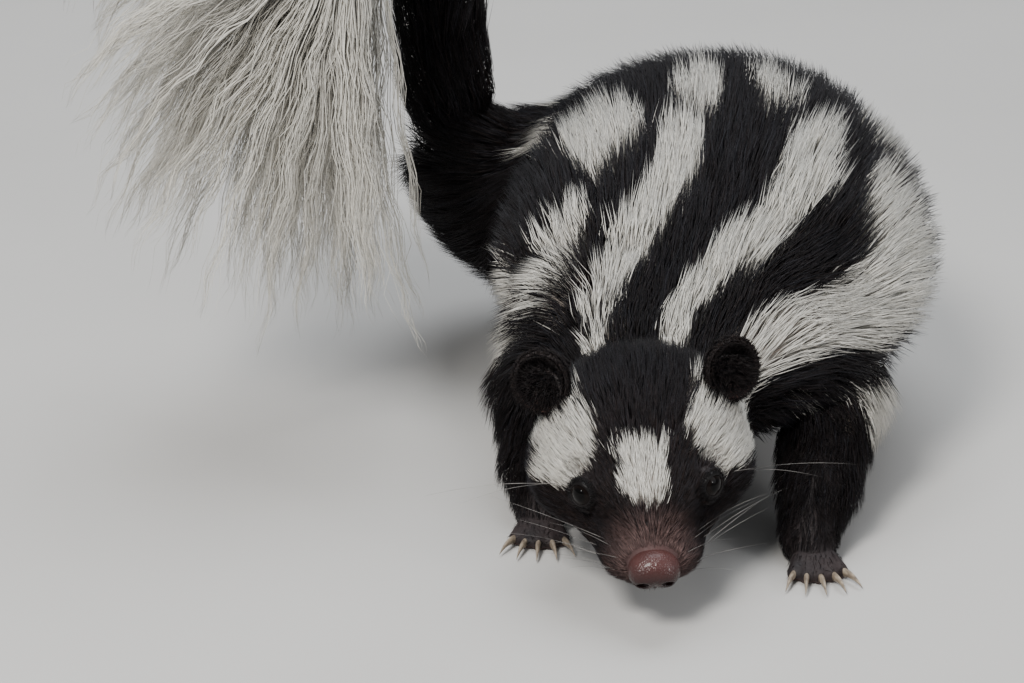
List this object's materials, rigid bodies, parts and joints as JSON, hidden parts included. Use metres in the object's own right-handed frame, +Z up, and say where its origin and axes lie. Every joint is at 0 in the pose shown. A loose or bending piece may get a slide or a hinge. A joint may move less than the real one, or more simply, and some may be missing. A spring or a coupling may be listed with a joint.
{
  "type": "spotted skunk",
  "caption": "Life-size still spotted skunk, creeping with its head low, body bent round and white-plumed tail raised.",
  "frame": {"origin": "on the floor, below the centre of the model's bounding box", "axes": "+Z up; the nose points towards -Y; the animal's left side is towards +X at the head"},
  "size_m": [0.203, 0.209, 0.1454],
  "materials": {
    "black_fur": "short to medium glossy black fur",
    "white_fur": "long soft creamy white tail hair",
    "ear_skin": "thin dark skin with fine short hair",
    "eye": "wet and glossy",
    "nose_skin": "moist, finely grained, reddish"
  },
  "bodies": {
    "root": {"chest": "black_fur", "ear_left": "ear_skin", "ear_right": "ear_skin", "eye_left": "eye", "eye_right": "eye", "front_left_lower": "black_fur", "front_left_paw": "black_fur", "front_left_upper": "black_fur", "front_right_lower": "black_fur", "front_right_paw": "black_fur", "front_right_upper": "black_fur", "head": "black_fur", "hind_left_lower": "black_fur", "hind_left_paw": "black_fur", "hind_left_upper": "black_fur", "hind_right_lower": "black_fur", "hind_right_paw": "black_fur", "hind_right_upper": "black_fur", "loin": "black_fur", "neck": "black_fur", "nose": "nose_skin", "rump": "black_fur", "tail_1": "black_fur", "tail_2": "black_fur", "tail_3": "black_fur", "tail_plume": "white_fur"}
  },
  "joints": []
}
